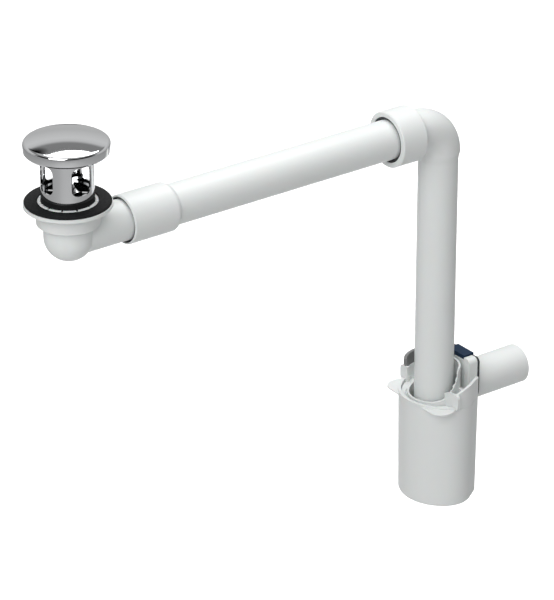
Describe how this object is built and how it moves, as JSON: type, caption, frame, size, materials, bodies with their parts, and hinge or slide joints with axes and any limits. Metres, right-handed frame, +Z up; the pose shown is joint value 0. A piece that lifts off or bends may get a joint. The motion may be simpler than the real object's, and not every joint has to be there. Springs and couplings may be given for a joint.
{
  "type": "washbasin trap",
  "caption": "Space-saving washbasin trap: capped chrome waste, horizontal arm, dip tube and removable cup with a side outlet.",
  "frame": {"origin": "centre of the waste, in the plane where the gasket meets the basin", "axes": "+Z up through the valve cover, +X along the pipes to the wall, Y = 0 the middle plane of the pipes"},
  "size_m": [0.4699, 0.075, 0.4078],
  "materials": {
    "white_plastic": "satin moulded white",
    "black_rubber": "matt black",
    "grey_rubber": "matt dark grey",
    "chrome": "polished",
    "brass": "turned",
    "steel": "turned",
    "blue_plastic": "moulded dark blue",
    "dark_plastic": "moulded dark grey"
  },
  "bodies": {
    "inlet": {"inlet_elbow": "white_plastic", "basin_gasket": "black_rubber", "cage_seal": "black_rubber", "valve_cage": "chrome", "screw_washer": "steel", "clamp_screw": "steel", "clamp_nut": "brass"},
    "cover": {"valve_cover": "chrome", "cover_carrier": "dark_plastic"},
    "arm": {"arm_pipe": "white_plastic", "bell_seal": "grey_rubber"},
    "arm_seal": {"socket_seal": "grey_rubber"},
    "riser": {"riser_elbow": "white_plastic"},
    "tube_seal": {"dip_seal": "grey_rubber"},
    "trap": {"trap_head": "white_plastic", "seal_retainer": "white_plastic", "head_seal": "grey_rubber", "outlet_seal": "grey_rubber", "outlet_tube": "white_plastic"},
    "lock": {"lock_lever": "dark_plastic", "lock_tab": "blue_plastic"},
    "cup": {"trap_cup": "white_plastic"}
  },
  "joints": [
    {"name": "cover_lift", "type": "slide", "parent": "inlet", "child": "cover", "axis": [0, 0, 1], "range_m": [0, 0.02]},
    {"name": "inlet_turn", "type": "hinge", "parent": "inlet", "child": "arm", "pos_m": [0.067, 0, -0.0295], "axis": [1, 0, 0], "continuous": true},
    {"name": "arm_reach", "type": "slide", "parent": "arm", "child": "arm_seal", "axis": [1, 0, 0], "range_m": [0, 0.01]},
    {"name": "riser_turn", "type": "hinge", "parent": "arm_seal", "child": "riser", "pos_m": [0.301, 0, -0.0295], "axis": [1, 0, 0], "continuous": true},
    {"name": "height_slide", "type": "slide", "parent": "riser", "child": "tube_seal", "axis": [0, 0, 1], "range_m": [-0.025, 0.015]},
    {"name": "trap_turn", "type": "hinge", "parent": "tube_seal", "child": "trap", "pos_m": [0.3486, 0, -0.2955], "axis": [0, 0, 1], "continuous": true},
    {"name": "lock_slide", "type": "slide", "parent": "trap", "child": "lock", "axis": [1, 0, 0], "range_m": [0, 0.002]},
    {"name": "cup_release", "type": "slide", "parent": "trap", "child": "cup", "axis": [0, 0, -1], "range_m": [0, 0.1]}
  ]
}
